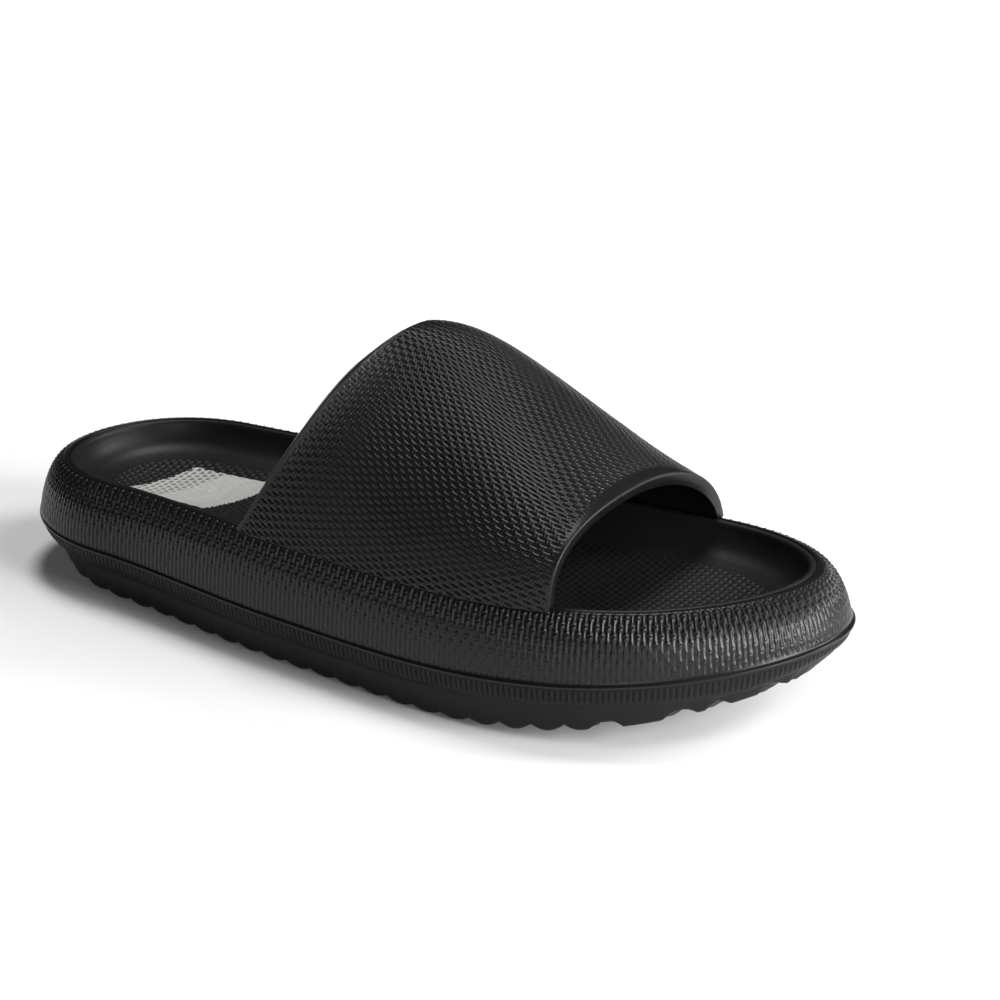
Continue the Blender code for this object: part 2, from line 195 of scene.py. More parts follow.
class Skin:  # points and faces of one piece, in millimetres, with values that its material reads

    def __init__(self, columnsAround=0):
        self.points = []
        self.values = []  # relief with its painted shade, weave, column, row of each point
        self.count = 0
        self.faces = []
        self.columnsAround = columnsAround

    def add(self, points, relief=1.0, weave=0.0, column=0.0, row=0.0):
        points = np.asarray(points, float).reshape(-1, 3)
        first = self.count
        self.points.append(points)
        zero = np.zeros(len(points))
        self.values.append(np.stack([zero + relief, zero + weave, zero + column, zero + row], 1))
        self.count += len(points)
        return np.arange(first, self.count)

    def strip(self, first, second):
        quads = np.stack([first[:-1], first[1:], second[1:], second[:-1]], 1)
        self.faces.extend(quads.tolist())

    def loop(self, first, second):
        self.strip(np.append(first, first[0]), np.append(second, second[0]))

    def loops(self, rings):
        for first, second in zip(rings[:-1], rings[1:]):
            self.loop(first, second)

    def rows(self, lines):  # lines of points side by side, the first and last may be one point
        for first, second in zip(lines[:-1], lines[1:]):
            width = max(len(first), len(second))
            first = np.resize(first, width) if len(first) == 1 else first
            second = np.resize(second, width) if len(second) == 1 else second
            self.strip(first, second)

    def zipper(self, first, firstKeys, second, secondKeys):  # joins two lines of points with unlike counts
        first = [int(point) for point in first]
        second = [int(point) for point in second]
        i = 0
        j = 0
        while i < len(first) - 1 or j < len(second) - 1:
            iNext = firstKeys[i + 1] if i < len(first) - 1 else math.inf
            jNext = secondKeys[j + 1] if j < len(second) - 1 else math.inf
            if abs(iNext - jNext) < 1e-6:
                self.faces.append([first[i], first[i + 1], second[j + 1], second[j]])
                i += 1
                j += 1
            elif iNext < jNext:
                self.faces.append([first[i], first[i + 1], second[j]])
                i += 1
            else:
                self.faces.append([first[i], second[j + 1], second[j]])
                j += 1

    def build(self, name, material, sharpDegrees=None):
        mesh = bpy.data.meshes.new(name)
        points = np.concatenate(self.points) * mm
        values = np.concatenate(self.values)
        faces = [list(dict.fromkeys(face)) for face in self.faces]
        mesh.from_pydata(points.tolist(), [], [face for face in faces if len(face) > 2])
        work = bmesh.new()
        work.from_mesh(mesh)
        bmesh.ops.recalc_face_normals(work, faces=list(work.faces))
        work.to_mesh(mesh)
        work.free()
        for index, label in enumerate(("relief", "weave")):
            attribute = mesh.attributes.new(label, "FLOAT", "POINT")
            attribute.data.foreach_set("value", values[:, index].astype(np.float32))
        corners = np.zeros(len(mesh.loops), np.int32)
        mesh.loops.foreach_get("vertex_index", corners)
        starts = np.zeros(len(mesh.polygons), np.int32)
        mesh.polygons.foreach_get("loop_start", starts)
        place = values[corners, 2:4]
        if self.columnsAround:  # the last column's faces end where the first column starts
            sizes = np.diff(np.append(starts, len(corners)))
            highest = np.repeat(np.maximum.reduceat(place[:, 0], starts), sizes)
            wraps = highest - place[:, 0] > self.columnsAround / 2.0
            place[:, 0] += np.where(wraps, self.columnsAround, 0.0)
        lattice = mesh.uv_layers.new(name="lattice")
        lattice.uv.foreach_set("vector", place.astype(np.float32).ravel())
        mesh.shade_smooth()
        if sharpDegrees:
            mesh.set_sharp_from_angle(angle=math.radians(sharpDegrees))
        mesh.materials.append(material)
        triangles = sum(len(face) - 2 for face in faces)
        print(name, "points", len(points), "triangles", triangles)
        return newObject(name, mesh)


# moulded weave of strap and rim, in columns and periods: flat bars, slots in brick order, knots
weave = {
    "slotEdge": 0.14,
    "knotHalf": 0.17,
    "beadPlace": 0.11,  # two beads beside a notch make a knot
    "beadHalf": 0.07,
    "beadRise": 0.34,
    "notchHalf": 0.045,
    "pitFrom": 0.30,  # depth from which a pit darkens with painted shade
}


def wovenRelief(columns, rows, look, mask):  # drop below the bars as a share of the depth
    near = np.round(columns)
    down = rows - np.mod(near, 2.0) / 2.0
    slot = smooth((look["slotHalf"] - np.abs(down - np.round(down))) / weave["slotEdge"] + 0.5)
    lane = np.round(columns - look["knotLane"])
    along = rows - 0.5 - np.mod(lane, 2.0) / 2.0
    along = np.abs(along - np.round(along))
    width = look["grooveHalf"] - look["knotWide"] * np.exp(-(along / weave["knotHalf"]) ** 2)
    groove = smooth((width - np.abs(columns - near)) / look["grooveEdge"] + 0.5)
    bead = np.exp(-((along - weave["beadPlace"]) / weave["beadHalf"]) ** 2)
    notch = np.exp(-(along / weave["notchHalf"]) ** 2)
    onLane = 0.5 + 0.5 * np.cos((columns - look["knotLane"] - lane) * math.tau)
    knot = onLane * look["knots"] * (notch * look["notchDrop"] - bead * weave["beadRise"])
    return (groove * (look["bridge"] + (1.0 - look["bridge"]) * slot) + knot * mask) * mask


# shader groups shared by the foam pieces
def newGroup(name, inputs, outputs):
    group = bpy.data.node_groups.new(name, "ShaderNodeTree")
    for label, value in inputs.items():
        kind = "NodeSocketColor" if isinstance(value, tuple) else "NodeSocketFloat"
        socket = group.interface.new_socket(name=label, in_out="INPUT", socket_type=kind)
        socket.default_value = value
    for label in outputs:
        kind = "NodeSocketColor" if label == "Color" else "NodeSocketFloat"
        group.interface.new_socket(name=label, in_out="OUTPUT", socket_type=kind)
    return group, group.nodes.new("NodeGroupInput").outputs, group.nodes.new("NodeGroupOutput").inputs


def feed(tree, socket, value):  # a plain value, or a link from another node
    if isinstance(value, (int, float, tuple)):
        socket.default_value = value
    else:
        tree.links.new(value, socket)


def mathNode(tree, operation, first, second=None, third=None):
    node = tree.nodes.new("ShaderNodeMath")
    node.operation = operation
    for socket, value in zip(node.inputs, (first, second, third)):
        if value is not None:
            feed(tree, socket, value)
    return node.outputs[0]


def mixColour(tree, factor, first, second):
    node = tree.nodes.new("ShaderNodeMix")
    node.data_type = "RGBA"
    for index, value in ((0, factor), (6, first), (7, second)):
        feed(tree, node.inputs[index], value)
    return node.outputs[2]


def scaleColour(tree, colour, factor):
    node = tree.nodes.new("ShaderNodeVectorMath")
    node.operation = "SCALE"
    feed(tree, node.inputs[0], colour)
    feed(tree, node.inputs["Scale"], factor)
    return node.outputs[0]


def meshValue(tree, name):  # a value that the mesh carries at each point
    node = tree.nodes.new("ShaderNodeAttribute")
    node.attribute_name = name
    return node.outputs["Fac"]


def noiseNode(tree, place, scale, detail, roughness=0.5):
    node = tree.nodes.new("ShaderNodeTexNoise")
    node.inputs["Scale"].default_value = scale
    node.inputs["Detail"].default_value = detail
    node.inputs["Roughness"].default_value = roughness
    tree.links.new(place, node.inputs["Vector"])
    return node.outputs["Fac"]


def ramp(tree, value, low, high):  # smooth step from 0 at low to 1 at high
    node = tree.nodes.new("ShaderNodeMapRange")
    node.interpolation_type = "SMOOTHSTEP"
    node.inputs["From Min"].default_value = low
    node.inputs["From Max"].default_value = high
    tree.links.new(value, node.inputs["Value"])
    return node.outputs["Result"]


foamLook = {
    "pores": (5200.0, 2.0),  # scale and detail
    "ripple": (900.0, 2.0),
    "cloud": (38.0, 3.0),
    "cloudShade": (0.75, 0.5),  # tone where the clouds are thin, and what they add
    "cloudRough": 0.12,
    "bumpDistance": 0.0003,
    "ior": 1.5,
}


def makeFoamGrain():  # fine pores, soft ripple and slow clouds of the foam's moulded skin
    group, given, out = newGroup(
        "foamGrain",
        {"Pores": 0.5, "Ripple": 0.3},
        ("Height", "Cloud"),
    )
    place = group.nodes.new("ShaderNodeTexCoord").outputs["Object"]
    pores = noiseNode(group, place, *foamLook["pores"])
    ripple = noiseNode(group, place, *foamLook["ripple"])
    cloud = noiseNode(group, place, *foamLook["cloud"])
    fine = mathNode(group, "MULTIPLY", pores, given["Pores"])
    height = mathNode(group, "MULTIPLY_ADD", ripple, given["Ripple"], fine)
    group.links.new(height, out["Height"])
    group.links.new(cloud, out["Cloud"])
    return group


def makeWovenSkin():  # the weave again at full sharpness, from the lattice places that the meshes carry
    group, given, out = newGroup(
        "wovenSkin",
        {"Bump Relief": 0.5, "Bump Knots": 1.0, "Groove Half": 0.2, "Groove Edge": 0.2, "Bridge": 0.5,
         "Slot Half": 0.3, "Knot Lane": 0.0, "Knot Wide": 0.0, "Notch Drop": 0.2},
        ("Height", "Pit"),
    )
    lattice = group.nodes.new("ShaderNodeUVMap")
    lattice.uv_map = "lattice"
    parts = group.nodes.new("ShaderNodeSeparateXYZ")
    group.links.new(lattice.outputs["UV"], parts.inputs[0])
    mask = meshValue(group, "weave")
    column = parts.outputs[0]
    row = parts.outputs[1]

    def node(operation, first, second=None, third=None):
        return mathNode(group, operation, first, second, third)

    def bell(distance, width):
        return node("EXPONENT", node("MULTIPLY", node("POWER", node("DIVIDE", distance, width), 2.0), -1.0))

    def fromNearest(index, start):  # distance along a column from its nearest slot or knot, in periods
        brick = node("MULTIPLY_ADD", node("FLOORED_MODULO", index, 2.0), -0.5, row)
        shifted = node("SUBTRACT", brick, start)
        return node("ABSOLUTE", node("SUBTRACT", shifted, node("ROUND", shifted)))

    near = node("ROUND", column)
    down = fromNearest(near, 0.0)
    slotEdge = weave["slotEdge"] / 2.0
    slot = ramp(group, node("SUBTRACT", given["Slot Half"], down), -slotEdge, slotEdge)
    inLane = node("SUBTRACT", column, given["Knot Lane"])
    lane = node("ROUND", inLane)
    along = fromNearest(lane, 0.5)
    wider = node("MULTIPLY", bell(along, weave["knotHalf"]), given["Knot Wide"])
    inside = node("SUBTRACT", node("SUBTRACT", given["Groove Half"], wider),
                  node("ABSOLUTE", node("SUBTRACT", column, near)))
    groove = ramp(group, node("DIVIDE", inside, given["Groove Edge"]), -0.5, 0.5)
    bead = bell(node("SUBTRACT", along, weave["beadPlace"]), weave["beadHalf"])
    notch = node("MULTIPLY", bell(along, weave["notchHalf"]), given["Notch Drop"])
    onLane = node("COSINE", node("MULTIPLY", node("SUBTRACT", inLane, lane), math.tau))
    knot = node("MULTIPLY", node("MULTIPLY_ADD", bead, -weave["beadRise"], notch),
                node("MULTIPLY_ADD", onLane, 0.5, 0.5))
    bridge = given["Bridge"]
    depth = node("MULTIPLY_ADD", slot, node("SUBTRACT", 1.0, bridge), bridge)
    knots = node("MULTIPLY", given["Bump Knots"], mask)
    depth = node("MULTIPLY_ADD", knot, knots, node("MULTIPLY", groove, depth))
    drop = node("MULTIPLY", depth, mask)
    sunk = node("MULTIPLY", drop, given["Bump Relief"])
    group.links.new(node("MULTIPLY", sunk, -1.0), out["Height"])
    # Pit marks where the groove is deep enough for painted shade
    group.links.new(ramp(group, drop, weave["pitFrom"], 1.0), out["Pit"])
    return group


def makePaintedPitShade():  # painted shade: dark dull pits and plain tops, from the mesh's relief and any finer pits
    group, given, out = newGroup(
        "pitTone",
        {"Skin": (0.04, 0.04, 0.04, 1.0), "Deep": (0.01, 0.01, 0.01, 1.0), "Pit": 0.0, "Cloud": 0.5,
         "Gloss": 0.45, "Dull": 0.65},
        ("Color", "Roughness"),
    )
    finer = mathNode(group, "SUBTRACT", 1.0, given["Pit"])
    high = mathNode(group, "MINIMUM", meshValue(group, "relief"), finer)
    # painted shade: the Deep colour where the relief is low
    tone = mixColour(group, high, given["Deep"], given["Skin"])
    thin, added = foamLook["cloudShade"]
    shade = mathNode(group, "MULTIPLY_ADD", given["Cloud"], added, thin)
    group.links.new(scaleColour(group, tone, shade), out["Color"])
    spread = mathNode(group, "SUBTRACT", given["Gloss"], given["Dull"])
    rough = mathNode(group, "MULTIPLY_ADD", spread, high, given["Dull"])
    varied = mathNode(group, "MULTIPLY_ADD", given["Cloud"], foamLook["cloudRough"], rough)
    evened = mathNode(group, "SUBTRACT", varied, foamLook["cloudRough"] / 2.0)
    group.links.new(evened, out["Roughness"])
    return group


foamGrain = makeFoamGrain()
wovenSkin = makeWovenSkin()
pitTone = makePaintedPitShade()


def placeGroup(tree, group, look):  # each input takes the look's value of its name, in camelCase
    node = tree.nodes.new("ShaderNodeGroup")
    node.node_tree = group
    for socket in node.inputs:
        key = socket.name[0].lower() + socket.name[1:].replace(" ", "")
        if key in look:
            socket.default_value = look[key]
    return node


def foamMaterial(name, look):
    material = bpy.data.materials.new(name)
    material.use_nodes = True
    tree = material.node_tree
    shader = tree.nodes["Principled BSDF"]
    shader.inputs["Metallic"].default_value = 0.0
    shader.inputs["IOR"].default_value = foamLook["ior"]
    shader.inputs["Specular IOR Level"].default_value = look["specular"]
    grain = placeGroup(tree, foamGrain, look)
    tone = placeGroup(tree, pitTone, look)
    tree.links.new(grain.outputs["Cloud"], tone.inputs["Cloud"])
    height = grain.outputs["Height"]
    if "bumpRelief" in look:
        woven = placeGroup(tree, wovenSkin, look)
        height = mathNode(tree, "MULTIPLY_ADD", height, look["grain"], woven.outputs["Height"])
        tree.links.new(woven.outputs["Pit"], tone.inputs["Pit"])
    else:
        height = mathNode(tree, "MULTIPLY", height, look["grain"])
    tree.links.new(tone.outputs["Color"], shader.inputs["Base Color"])
    tree.links.new(tone.outputs["Roughness"], shader.inputs["Roughness"])
    bump = tree.nodes.new("ShaderNodeBump")
    bump.inputs["Strength"].default_value = 1.0
    bump.inputs["Distance"].default_value = foamLook["bumpDistance"]
    tree.links.new(height, bump.inputs["Height"])
    tree.links.new(bump.outputs["Normal"], shader.inputs["Normal"])
    return material, tree, shader, tone


def dress(piece, node):
    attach(piece, "root")
    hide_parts(node)


# midsole: rolled side with the woven relief, lip at its foot, smooth band at the rim
midsole = {
    "columnPitch": 1.715,
    "rowPeriod": 5.3,
    "rowStart": 0.27,  # the first slots start at the smooth band
    "rowSamples": 10,  # mesh rows in one period
    "evenRows": 30,  # rows on the lattice, counted down from the rim
    "footRows": 13,
    "samples": (0.0, 0.22, 0.40, 0.62),  # mesh lines within one column
    "columnStart": 0.19,  # so the lines lie on the edges of bars and grooves
    "depth": 0.62,
    "grooveHalf": 0.29,
    "grooveEdge": 0.42,
    "bridge": 0.60,  # depth between two slots of a column, as a share of the slot's depth
    "slotHalf": 0.28,
    "knotLane": 0.5,  # the knots sit on the bars
    "knotWide": 0.20,
    "notchDrop": 0.55,
    "knots": 1.2,
    "smoothTop": (2.0, 0.5, 2.2),
    "smoothFoot": (0.5, 0.6, 1.1),
    "fade": 0.5,
    "footFade": 1.0,
    "fainter": (5.0, 10.5, 0.58),  # the relief weakens down the side: from, to, by how much
    "lip": ((0.45, 0.0), (0.12, 0.10), (0.0, 0.42), (0.03, 0.75)),
    "lipShade": 0.4,  # painted shade: the lip's foot darkens below this height
    "lipRise": 0.95,
    "flare": (0.35, 0.60, 1.05),  # the side stands back from the lip by this much
    "flareRun": (0.5, 0.6, 0.9),
    "lipShine": 0.3,  # the plain ledge on the lip is smoother than the side
    "rollSteps": 90,
    "rollFine": 400,
    "rollIn": (0.0, 0.05, 0.14, 0.27, 0.43, 0.62, 0.82, 1.0),
    "rollUp": (0.0, 0.20, 0.41, 0.61, 0.78, 0.918, 0.986, 1.0),
    "rimRound": ((0.10, 0.02), (0.22, 0.10), (0.28, 0.28), (0.30, 1.2)),
    "cup": ((0.0, 3.1), (1.1, 6.6), (3.4, 10.0), (7.3, 12.3), (13.5, 13.4)),
    "skin": (0.0050, 0.0050, 0.0054, 1.0),
    # deep: painted shade colour in the pits and creases
    "deep": (0.0008, 0.0008, 0.0009, 1.0),
    "gloss": 0.30,
    "dull": 0.80,
    "specular": 0.255,
    "pores": 0.35,
    "ripple": 0.25,
    "grain": 0.12,
    "bumpRelief": 0.45,
    "bumpKnots": 4.0,
}
columns = 2 * round(SoleRing(sole["measureSteps"]).length / midsole["columnPitch"] / 2.0)
samples = len(midsole["samples"])
ring = SoleRing(columns * samples // 2, midsole["samples"])
ringColumns = np.arange(ring.count) // samples + np.tile(midsole["samples"], columns)
ringColumns = ringColumns + midsole["columnStart"]


def rollRing(inward, up):  # a ring on the rolled side, at shares of the way in and up from lip to rim
    low = ring.height(sole["parting"]) + midsole["lipRise"]
    inset = between(ring.inset(midsole["flare"]), ring.inset(sole["rimInset"]), inward)
    return ring.at(inset, between(low, ring.height(sole["rimHeight"]), up))


def pressed(grid, drop):  # rings around the sole, pressed in by the drop at each point
    across = np.roll(grid, -1, 1) - np.roll(grid, 1, 1)
    normal = np.cross(across, np.gradient(grid, axis=0))
    normal /= np.maximum(np.linalg.norm(normal, axis=2)[:, :, None], 1e-9)
    outward = np.sign(-normal[0, 0, :2] @ ring.inward[0])
    return grid - normal * (outward * drop)[:, :, None]


def plainCap(skin, ringIndex, perSide):
    medial = ringIndex[:perSide + 1]
    lateral = np.concatenate([ringIndex[:1], ringIndex[perSide:][::-1]])
    skin.strip(medial, lateral)


def makeMidsole():
    skin = Skin(columns)
    lipFoot = ring.height(sole["parting"]) + sole["gap"] / 2.0
    rings = []
    # painted shade at the lip's foot, from lipShade
    for inset, up in midsole["lip"]:
        rings.append(skin.add(ring.at(inset, lipFoot + up), relief=min(1.0, up / midsole["lipShade"])))
    roll = smoothPath(midsole["rollIn"], midsole["rollUp"], midsole["rollFine"])
    dense = np.array([rollRing(inward, up) for inward, up in evenPoints(roll, midsole["rollSteps"])])
    denseClimb = runOf(dense)
    length = denseClimb[-1]
    top = ring.inset(midsole["smoothTop"])
    foot = ring.inset(midsole["smoothFoot"])
    rowStep = midsole["rowPeriod"] / midsole["rowSamples"]
    fromTop = [np.zeros(ring.count), top / 2.0]
    fromTop += [top + row * rowStep for row in range(midsole["evenRows"])]
    last = fromTop[-1]
    for row in range(1, midsole["footRows"] + 1):
        fromTop.append(between(last, length, 1.0 - (1.0 - row / midsole["footRows"]) ** 2))
    fromTop = np.array(fromTop)[::-1]
    climb = length - fromTop
    side = np.zeros(climb.shape + (3,))
    for i in range(ring.count):
        for k in range(3):
            side[:, i, k] = np.interp(climb[:, i], denseClimb[:, i], dense[:, i, k])
    flare = ring.inset(midsole["flare"]) - midsole["lip"][-1][0]
    ledge = 1.0 - smooth(climb / ring.inset(midsole["flareRun"]))
    flare = flare * ledge
    side[:, :, :2] -= ring.inward[None] * flare[:, :, None]
    rowPlace = (fromTop - top) / midsole["rowPeriod"] - midsole["rowStart"]
    mask = smooth((fromTop - top) / midsole["fade"]) * smooth((climb - foot) / midsole["footFade"])
    start, end, loss = midsole["fainter"]
    mask *= 1.0 - loss * smooth((fromTop - top - start) / (end - start))
    drop = wovenRelief(ringColumns[None, :], rowPlace, midsole, mask)
    side = pressed(side, drop * midsole["depth"])
    for row in range(len(side)):
        shine = 1.0 + midsole["lipShine"] * ledge[row]
        rings.append(skin.add(side[row], shine, mask[row], ringColumns, rowPlace[row]))
    edge = ring.inset(sole["rimInset"])
    rim = ring.height(sole["rimHeight"])
    for inside, depth in midsole["rimRound"] + midsole["cup"]:
        rings.append(skin.add(ring.at(edge + inside, rim - depth)))
    plainCap(skin, rings[0], ring.perSide)
    skin.loops(rings)
    plainCap(skin, rings[-1], ring.perSide)
    material = foamMaterial("midsoleFoam", midsole)[0]
    dress(skin.build("midsole_dressed", material), "midsole")


makeMidsole()

# outsole: undercut band with a shallow relief, plain wall, wavy lugs
outsole = {
    "grooveDepth": 0.9,
    "bandIn": (0.0, 0.06, 0.40, 1.0),
    "bandDown": (0.0, 0.30, 0.68, 1.0),
    "bandRows": 15,
    "bandDepth": 0.20,
    "grooveHalf": 0.25,
    "grooveEdge": 0.40,
    "bridge": 0.85,
    "slotHalf": 0.28,
    "knotLane": 0.5,
    "knotWide": 0.0,
    "notchDrop": 0.0,
    "knots": 0.0,
    "bandFade": 0.5,
    "ribFade": 2.2,  # the ribs run out towards the plain wall
    "crease": 0.55,  # painted shade: dark line under the lip
    "rowPeriod": 5.3,
    "bandStep": 0.5,
    "stepDrop": 0.3,
    "wallLeast": 0.6,
    "wallRows": 6,
    "edgeTurn": ((0.0, 1.5), (0.22, 0.72), (0.75, 0.22), (1.5, 0.0)),  # rounded lower edge
    "lugHeight": 2.6,
    "lugFrom": -123.0,
    "lugTo": 88.0,
    "lugPitch": 10.0,
    "lugHalf": 2.6,
    "lugFlank": 1.2,
    "flankShift": 0.15,  # share of the flank that lies over the lug
    "sharpDegrees": 60.0,
    "lugWave": 2.0,
    "lugWaves": 2.0,
    "archReach": 1.0,  # how far the arched gap ends cut into a lug at the wall
    "archRun": 4.0,
    "scallop": (1.1, 1.9),  # height of the gaps at the wall, at heel and ball
    "scallopRise": (40.0, 75.0),
    "toeArch": 0.8,
    "toeLugs": ((99.0, 110.5), (116.5, 120.0), (123.5, 130.5), (133.6, 135.8)),
    "bottomColumns": 26,
    "skin": (0.0055, 0.0055, 0.0060, 1.0),
    # deep: painted shade colour in the pits and the crease under the lip
    "deep": (0.0012, 0.0012, 0.0013, 1.0),
    "gloss": 0.44,
    "dull": 0.80,
    "specular": 0.19,
    "pores": 0.4,
    "ripple": 0.3,
    "grain": 0.15,
    "bumpRelief": 0.25,
    "bumpKnots": 0.0,
}


def gapDepth(x, share, fromWall):  # how far the underside lies above the lug faces
    place = x - outsole["lugWave"] * np.cos(share * math.tau * outsole["lugWaves"])
    pitch = outsole["lugPitch"]
    start = outsole["lugFrom"]
    last = start + pitch * math.floor((outsole["lugTo"] - start) / pitch)
    nearest = np.clip(np.round((place - start) / pitch) * pitch + start, start, last)
    away = np.abs(place - nearest) - outsole["lugHalf"]
    for low, high in outsole["toeLugs"]:
        away = np.minimum(away, np.maximum(low - x, x - high))
    channel = smooth(away / outsole["lugFlank"] + outsole["flankShift"])
    reach = outsole["archReach"]
    arch = np.sin(clamp((away + reach) / (pitch / 2.0 - outsole["lugHalf"] + reach)) * math.pi / 2.0)
    bow = clamp(2.0 * np.abs(place - nearest) / pitch) ** 2
    low, high = outsole["scallop"]
    scallop = between(low, high, smooth((x - outsole["scallopRise"][0]) / np.ptp(outsole["scallopRise"])))
    toe = smooth((x - last) / pitch)
    edge = between(bow * scallop, arch * outsole["toeArch"] * outsole["lugHeight"], toe)
    wall = clamp(1.0 - fromWall / outsole["archRun"])
    return outsole["lugHeight"] * channel * (1.0 - wall) + edge * wall


def makeOutsole():
    skin = Skin(columns)
    top = ring.height(sole["parting"]) - sole["gap"] / 2.0
    groove = outsole["grooveDepth"]
    bandInset = ring.inset(sole["bandInset"])
    gapLevel = underside(ring.points[:, 0]) + outsole["lugHeight"]
    bandFoot = np.maximum(ring.height(sole["bandHeight"]), gapLevel + outsole["wallLeast"])
    shares = np.linspace(0.0, 1.0, outsole["bandRows"])
    inward = smoothLine(shares, outsole["bandDown"], outsole["bandIn"])
    band = np.array([ring.at(between(groove, bandInset, i), between(top, bandFoot, d))
                     for i, d in zip(inward, shares)])
    fall = runOf(band)
    rowPlace = fall / outsole["rowPeriod"]
    mask = smooth(fall / outsole["bandFade"]) * smooth((fall[-1] - fall) / outsole["ribFade"])
    drop = wovenRelief(ringColumns[None, :], rowPlace, outsole, mask)
    band = pressed(band, drop * outsole["bandDepth"])
    # painted shade in the crease under the lip
    relief = smooth(fall / outsole["crease"])
    rings = []
    for row in range(len(band)):
        rings.append(skin.add(band[row], relief[row], mask[row], ringColumns, rowPlace[row]))
    stepInset = bandInset + outsole["bandStep"]
    footInset = ring.inset(sole["soleInset"]) + outsole["bandStep"]
    footPlace = ring.at(footInset, 0.0)
    share = np.concatenate([np.ones(ring.perSide + 1), np.zeros(ring.perSide - 1)])
    footHeight = underside(footPlace[:, 0]) + gapDepth(footPlace[:, 0], share, 0.0)
    stepHeight = bandFoot - outsole["stepDrop"]
    wallFoot = footHeight + outsole["edgeTurn"][0][1]
    for t in np.linspace(0.0, 1.0, outsole["wallRows"]):
        wall = ring.at(between(stepInset, footInset, t), between(stepHeight, wallFoot, t))
        rings.append(skin.add(wall))
    for inside, up in outsole["edgeTurn"][1:]:
        rings.append(skin.add(ring.at(footInset + inside, footHeight + up)))
    plainCap(skin, rings[0], ring.perSide)
    skin.loops(rings)
    edge = ring.at(footInset + outsole["edgeTurn"][-1][0], 0.0)
    lines = [rings[-1][:1]]
    across = np.linspace(1.0, 0.0, outsole["bottomColumns"] + 2)[1:-1]
    for i in range(1, ring.perSide):
        inner = between(edge[-i], edge[i], across[:, None])
        width = np.linalg.norm(edge[i] - edge[-i])
        fromWall = np.minimum(across, 1.0 - across) * width
        inner[:, 2] = underside(inner[:, 0]) + gapDepth(inner[:, 0], across, fromWall)
        lines.append(np.concatenate([[rings[-1][i]], skin.add(inner), [rings[-1][-i]]]))
    lines.append(rings[-1][ring.perSide:ring.perSide + 1])
    skin.rows(lines)
    material = foamMaterial("outsoleFoam", outsole)[0]
    piece = skin.build("outsole_dressed", material, outsole["sharpDegrees"])
    dress(piece, "outsole")


makeOutsole()

# insole: cupped footbed, smooth wall, dimpled floor, a bare silver patch under the heel
insole = {
    "perSide": 480,
    "floorColumns": 118,
    "underColumns": 6,
    "cupIn": (0.3, 0.42, 0.9, 1.6, 2.2, 3.0, 4.3, 6.4, 9.4, 13.5),
    "cupDown": (0.5, 0.18, 0.08, 0.06, 0.35, 2.6, 5.2, 7.4, 8.8, 9.5),
    "wallRows": 30,
    "under": ((0.3, 3.0), (1.3, 6.4), (3.6, 9.8), (7.4, 12.0), (13.5, 13.1)),
    "footbedAt": (-1.0, -0.6, -0.1, 0.4, 1.0),
    "hollow": (0.6, 2.2, 0.6, 1.4, 0.5),
    "arch": (0.0, 0.0, 2.6, 0.3, 0.0),
    "dimpleSpacing": 2.66,
    "dimpleRadius": 1.12,
    "dimpleDepth": 0.52,
    "dimpleEdge": 1.15,  # where a dimple's soft edge ends, in radii
    "dimpleMargin": 1.0,
    "dimpleEndMargin": 0.6,
    "dimpleEnds": (0.55, 0.85),  # shares of the half length between which the margin changes
    "dimpleFade": 2.0,
    "settle": 9.0,  # the floor's hollow starts this softly at its border
    "borderStep": 4,  # every fourth border point is enough to measure from
    "skin": (0.0075, 0.0075, 0.0080, 1.0),
    # deep: painted shade colour in the dimples
    "deep": (0.0012, 0.0012, 0.0013, 1.0),
    "gloss": 0.46,
    "dull": 0.60,
    "specular": 0.255,
    "pores": 0.4,
    "ripple": 1.0,
    "grain": 0.22,
}
heelPatch = {  # bare silver film, laid over the dimples under the heel
    "rearFar": (-99.0, 17.3),
    "frontFar": (-63.2, 17.2),
    "frontNear": (-73.0, -11.0),
    "rearNear": (-106.6, -11.0),
    "rise": 0.12,
    "edge": 0.25,
    "smoothFrom": 0.36,  # share of the way forward where the dimples stop showing through
    "smoothRun": 0.1,
    "rearDimples": 1.0,
    "frontDimples": 0.12,
    "silver": (0.50, 0.495, 0.475),
    "roughness": 0.42,
    "wrinkle": 0.5,
    "wrinkleNoise": (420.0, 3.0, 0.6),  # scale, detail and roughness
    "border": (0.3, 0.8),  # share of the film between which silver takes over
    "pitShade": 0.12,  # painted shade: tone left in the dimples
}


def footbedDrop(along, across):
    hollow = smoothLine(along, insole["footbedAt"], insole["hollow"])
    arch = smoothLine(along, insole["footbedAt"], insole["arch"])
    medial = clamp(across)
    return hollow * (1.0 - across ** 2) - arch * 4.0 * medial * (1.0 - medial)


def dimpleRelief(x, y):  # round dimples in even triangles, rows across the foot
    rowStep = insole["dimpleSpacing"] * math.sqrt(3.0) / 2.0
    height = np.ones_like(x)
    base = np.floor(x / rowStep)
    for step in (0, 1):
        row = base + step
        along = x - row * rowStep
        across = y / insole["dimpleSpacing"] - np.mod(row, 2.0) / 2.0
        across = (across - np.round(across)) * insole["dimpleSpacing"]
        reach = np.hypot(along, across) / insole["dimpleRadius"]
        height = np.minimum(height, 1.0 - smooth(insole["dimpleEdge"] - reach))
    return height


def patchPlace(x, y):  # share of the way forward on the patch, distance inside its edge
    far = np.array([heelPatch["rearFar"], heelPatch["frontFar"]])
    near = np.array([heelPatch["rearNear"], heelPatch["frontNear"]])
    across = (y - near[0, 1]) / (far[0, 1] - near[0, 1])
    rear = between(near[0, 0], far[0, 0], across)
    front = between(near[1, 0], far[1, 0], across)
    inside = np.minimum(np.minimum(x - rear, front - x), np.minimum(y - near[0, 1], far[0, 1] - y))
    return (x - rear) / (front - rear), inside


